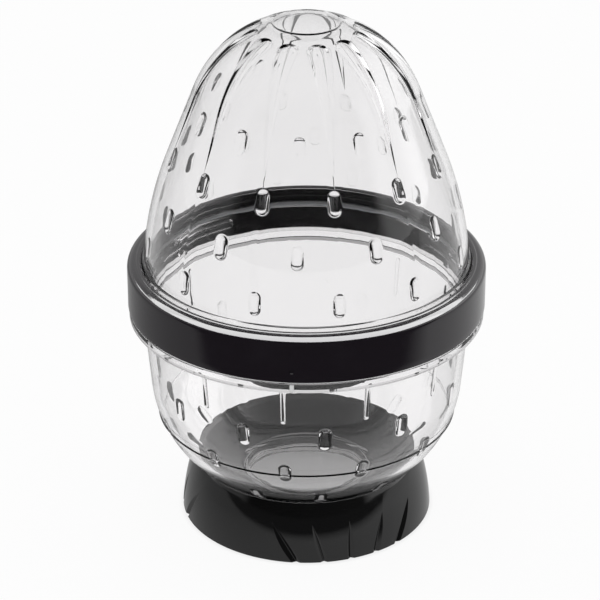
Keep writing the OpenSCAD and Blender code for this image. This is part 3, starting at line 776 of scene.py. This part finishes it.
def buildFoot(s):
    shell = Shell()
    chord = (s["topR"] - s["r"], s["h"])
    span = math.hypot(*chord)
    sag = math.sqrt(s["bulge"] ** 2 - (span / 2) ** 2) / span
    cr, cz = (s["r"] + s["topR"]) / 2 - chord[1] * sag, s["h"] / 2 + chord[0] * sag

    def outR(z, inset=0.0):
        return cr + np.sqrt((s["bulge"] - inset) ** 2 - (z - cz) ** 2)

    def nest(z):
        return s["corner"][0] + math.sqrt(s["nestR"] ** 2 - (s["corner"][1] - z) ** 2)

    # rows from the rim down; each slot is a straight notch that runs out of the bulge at slotH
    end, e = s["slotH"], s["edge"]
    above, below, last = s["slotGap"]
    z = np.concatenate([np.linspace(s["h"] - s["rimEdge"], end + above, s["slotRows"][0]), end - s["slotEnd"],
                        np.linspace(end - below, last, s["slotRows"][1]), [e]])
    middle, flare, across = (s["slots"] - 1) / 2, s["slotW"] / 2 / s["slotDepth"], s["across"]
    blocks, cuts = [], []
    for k in range(s["slots"]):
        lean = math.radians((k - middle) * s["slotLean"])
        turn = end * math.tan(lean) / s["r"]
        low = np.array([s["r"] - s["slotDepth"], 0])
        high = float(outR(end)) * np.array([math.cos(turn), math.sin(turn)])
        spot = low + (z / end)[:, None] * (high - low)
        depth = np.maximum(outR(z) - np.hypot(spot[:, 0], spot[:, 1]), 0)
        half = np.degrees(np.maximum(flare * depth, s["slotLeast"]) / math.cos(lean) / s["r"])
        turned = np.degrees(np.arctan2(spot[:, 1], spot[:, 0]))
        centre = s["slotTurn"] + (k - middle) * s["slotPitch"] + turned
        blocks.append(centre[:, None] + half[:, None] * across)
        cuts.append(depth[:, None] * np.clip(1 - abs(across), 0, 1))
    blocks.append(blocks[0][:, :1] + sectorTurn)
    cuts.append(np.zeros((len(z), 1)))
    az, cut = blocks[0], cuts[0]
    for k in range(1, s["slots"] + 1):
        share = np.linspace(0, 1, s["panel"] if k == s["slots"] else s["between"])[1:-1]
        gap = az[:, -1:] + (blocks[k][:, :1] - az[:, -1:]) * share
        az = np.concatenate([az, gap, blocks[k]], 1)
        cut = np.concatenate([cut, 0 * gap, cuts[k]], 1)
    r = outR(z)[:, None] - cut
    rows = [around(az[i], r[i], z[i]) for i in range(len(z))]
    rows.append(around(az[-1], r[-1] - e, 0.0))
    # underside, inside of the wall, web with its socket, and the bowl's seat up to the rim
    wall, webZ, webTop = s["wall"], s["webZ"], s["webZ"] + s["webT"]
    socketR, c = s["socketR"], s["socketEdge"]
    seatZ = next(q for q in np.linspace(s["seatFrom"], s["h"], s["seatSteps"]) if nest(q) > outR(q, wall))
    loop = [(outR(0, wall) + s["rimEdge"], 0.0)]
    loop += [(outR(q, wall), q) for q in np.linspace(s["rimEdge"], webZ, 6)]
    loop += [(socketR + c, webZ), (socketR, webZ + c), (socketR, webTop - c), (socketR + c, webTop)]
    loop += [(outR(q, wall), q) for q in np.linspace(webTop, seatZ, 6)]
    loop += [(nest(q), q) for q in np.linspace(seatZ, s["h"] - s["rimGap"], 8)]
    loop += [(outR(s["h"] - s["rimEdge"]) - e, s["h"])]
    # the columns turn from the lean of the lowest row to that of the rim, three rows before the loop ends
    for n, (p, q) in enumerate(loop):
        rows.append(around(az[-1] + (az[0] - az[-1]) * min(n / (len(loop) - 4), 1), p, q))
    rows.append(rows[0])
    shell.quads(shell.add(np.stack(rows)))
    return repeated("footBody", shell.mesh("footBody"), sectorCount, s["crease"], footBlack)


footBody = buildFoot(foot)
report(footBody)
print("pieces made")

for thing, body, node, slot in (
        (domeShell, "lid", "dome", "clear"), (sealRing, "lid", "seal", "silicone"),
        (collarRing, "ring", "collar", "collar_black"), (bowlShell, "base", "bowl", "clear"),
        (footBody, "base", "foot", "foot_black")):
    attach(thing, body)
    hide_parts(node)


# stage, light and camera

# painted reflection: a ray mirrored on its way sees a floor that is dark in front (shade, along Y),
# half dark to the left (leftShade, along X), and dark where the inside of a wall mirrored it once
# dark: the level of that floor, for the outside and for the inside of a wall
# sides: level of the world from back to front; right: its share from left to right; above: from aboveZ on
# through: level of the world from below to above, for light and for what is seen through the walls
stageLook = {"size": 30.0, "drop": 0.0002, "floor": (0.86, 0.86, 0.86), "white": 0.94,
             "under": (0.036, 0.046, 0.2), "shade": (-0.12, -0.04, 1, 0),
             "leftShade": (-0.12, 0.12, 0.66, 0.3), "dark": (0.08, 0.01),
             "inside": (2.5, 3.5), "once": (1, 2, 1, 0.4),
             "sides": ((-1.0, 0.9), (-0.6, 1.4), (-0.2, 1.6), (0.1, 0.85), (0.44, 0.75), (0.58, 0.06),
                       (1.0, 0.06)),
             "right": (0.5, 1.2), "above": 0.3, "aboveZ": (0.5, 0.95),
             "through": ((-1.0, 1.0), (0.3, 1.0), (0.6, 0.35), (1.0, 0.4))}


def mirroredRay(tree, light):
    # true for a ray that was mirrored anywhere on its way
    return mathNode(tree, "GREATER_THAN", light.outputs["Glossy Depth"], 0.5)


def makeFloor(s):
    work = bmesh.new()
    bmesh.ops.create_grid(work, x_segments=1, y_segments=1, size=s["size"] / 2)
    data = bpy.data.meshes.new("floor")
    work.to_mesh(data)
    work.free()
    floor = newObject("floor", data)
    floor.location.z = -s["drop"]
    material = bpy.data.materials.new("paleFloor")
    material.use_nodes = True
    tree = material.node_tree
    tree.nodes.clear()
    make, link = tree.nodes.new, tree.links.new
    end, light = make("ShaderNodeOutputMaterial"), make("ShaderNodeLightPath")
    matt, glow, dark = make("ShaderNodeBsdfDiffuse"), make("ShaderNodeEmission"), make("ShaderNodeEmission")
    pale, mix = make("ShaderNodeMixShader"), make("ShaderNodeMixShader")
    place, part = make("ShaderNodeTexCoord"), make("ShaderNodeSeparateXYZ")
    away = make("ShaderNodeVectorMath")
    matt.inputs["Color"].default_value = (*s["floor"], 1)
    away.operation = "LENGTH"
    link(place.outputs["Object"], away.inputs[0])
    link(place.outputs["Object"], part.inputs[0])
    # white for camera, glossy and transmission rays, less under the part, so that its shadow stays
    seen = mathNode(tree, "MAXIMUM", light.outputs["Is Camera Ray"], light.outputs["Is Glossy Ray"])
    seen = mathNode(tree, "MAXIMUM", seen, light.outputs["Is Transmission Ray"])
    link(mathNode(tree, "MULTIPLY", seen, spreadNode(tree, away.outputs["Value"], *s["under"], s["white"])),
         pale.inputs["Fac"])
    link(matt.outputs[0], pale.inputs[1])
    link(glow.outputs[0], pale.inputs[2])
    # painted reflection: the floor in front is dark only to rays mirrored by the outside; those mirrored
    # inside have crossed more walls
    crossed = light.outputs["Transmission Depth"]
    link(spreadNode(tree, crossed, *s["inside"], *s["dark"]), dark.inputs["Strength"])
    room = mathNode(tree, "MAXIMUM", spreadNode(tree, part.outputs["Y"], *s["shade"]),
                    spreadNode(tree, part.outputs["X"], *s["leftShade"]))
    room = mathNode(tree, "MULTIPLY", room, spreadNode(tree, crossed, 0, 1, 1, 0))
    inside = mathNode(tree, "MULTIPLY", spreadNode(tree, crossed, *s["inside"]),
                      spreadNode(tree, light.outputs["Glossy Depth"], *s["once"]))
    dim = mathNode(tree, "MAXIMUM", room, inside)
    link(mathNode(tree, "MULTIPLY", dim, mirroredRay(tree, light)), mix.inputs["Fac"])
    link(pale.outputs[0], mix.inputs[1])
    link(dark.outputs[0], mix.inputs[2])
    link(mix.outputs[0], end.inputs["Surface"])
    data.materials.append(material)


def makeWorld(s):
    # a white studio; what the part mirrors is a dark room in front, pale sides and a softer back and top
    world = bpy.data.worlds.new("studio")
    scene.world = world
    world.use_nodes = True
    tree = world.node_tree
    make, link = tree.nodes.new, tree.links.new
    back = tree.nodes["Background"]
    back.inputs["Color"].default_value = (1, 1, 1, 1)
    way, part, flat = make("ShaderNodeTexCoord"), make("ShaderNodeSeparateXYZ"), make("ShaderNodeCombineXYZ")
    level, front = make("ShaderNodeVectorMath"), make("ShaderNodeSeparateXYZ")
    light = make("ShaderNodeLightPath")
    level.operation = "NORMALIZE"
    link(way.outputs["Generated"], part.inputs[0])
    link(part.outputs["X"], flat.inputs["X"])
    link(part.outputs["Y"], flat.inputs["Y"])
    link(flat.outputs[0], level.inputs[0])
    link(level.outputs[0], front.inputs[0])

    def ramp(value, levels):
        node = make("ShaderNodeValToRGB")
        stops = node.color_ramp.elements
        while len(stops) < len(levels):
            stops.new(0.5)
        for stop, (at, number) in zip(stops, levels):
            stop.position, stop.color = (at + 1) / 2, (number, number, number, 1)
        link(value, node.inputs["Fac"])
        return node.outputs["Color"]

    def choose(pick, a, b):
        node = make("ShaderNodeMix")
        link(pick, node.inputs["Factor"])
        link(a, node.inputs["A"])
        if isinstance(b, float):
            node.inputs["B"].default_value = b
        else:
            link(b, node.inputs["B"])
        return node.outputs["Result"]

    low = mathNode(tree, "MULTIPLY", ramp(spreadNode(tree, front.outputs["Y"], 1, -1), s["sides"]),
                   spreadNode(tree, front.outputs["X"], -1, 1, *s["right"]))
    room = choose(spreadNode(tree, part.outputs["Z"], *s["aboveZ"]), low, s["above"])
    through = ramp(spreadNode(tree, part.outputs["Z"], -1, 1), s["through"])
    strength = choose(mirroredRay(tree, light), through, room)
    link(choose(light.outputs["Is Camera Ray"], strength, 1.0), back.inputs["Strength"])


# the cards and strips are mirrored by the collar alone, for the bright lines along its edges
lamps = {"softbox": {"at": (0, 0.1, 1.35), "size": (1.5, 1.5), "power": 9.0},
         "cardFront": {"at": (0, -0.41, 0.55), "size": (2.6, 0.98), "power": 100.0, "only": collarRing},
         "cardLeft": {"at": (-0.8, 0.25, 0.55), "size": (1.1, 0.34), "power": 11.0, "only": collarRing},
         "cardRight": {"at": (0.8, 0.25, 0.55), "size": (1.1, 0.34), "power": 11.0, "only": collarRing},
         "stripLeft": {"at": (-0.97, 0.66, 0.55), "size": (0.35, 0.48), "power": 3.5, "only": collarRing},
         "stripRight": {"at": (0.97, 0.66, 0.55), "size": (0.35, 0.48), "power": 3.5, "only": collarRing}}


def makeLamp(name, s):
    data = bpy.data.lights.new(name, "AREA")
    data.shape = "RECTANGLE"
    data.size, data.size_y = s["size"]
    data.energy = s["power"]
    lamp = newObject(name, data)
    lamp.location = s["at"]
    # the softbox lights and isn't mirrored; a card or strip is only mirrored, by one piece
    lamp.visible_camera = lamp.visible_transmission = False
    lamp.visible_glossy, lamp.visible_diffuse = "only" in s, "only" not in s
    if "only" in s:
        lit = bpy.data.collections.new(name)
        lit.objects.link(s["only"])
        lamp.light_linking.receiver_collection = lit


# the photograph's view, with the image taken as 600 by 600
view = {"at": (0, -0.8606, 0.5146), "down": 26.80, "pixels": 600, "focal": 2768.2, "axisAt": 306.5,
        "sensor": 36, "clip": (0.05, 50)}


def makeCamera(s):
    data = bpy.data.cameras.new("camera")
    data.sensor_width = s["sensor"]
    data.lens = s["focal"] / s["pixels"] * s["sensor"]
    data.shift_x = (s["pixels"] / 2 - s["axisAt"]) / s["pixels"]
    data.clip_start, data.clip_end = s["clip"]
    camera = newObject("camera", data)
    camera.location = s["at"]
    camera.rotation_euler = (math.radians(90 - s["down"]), 0, 0)
    scene.camera = camera


makeFloor(stageLook)
makeWorld(stageLook)
for lampName, lampLook in lamps.items():
    makeLamp(lampName, lampLook)
makeCamera(view)
scene.view_settings.view_transform = "Standard"
print("stage set")
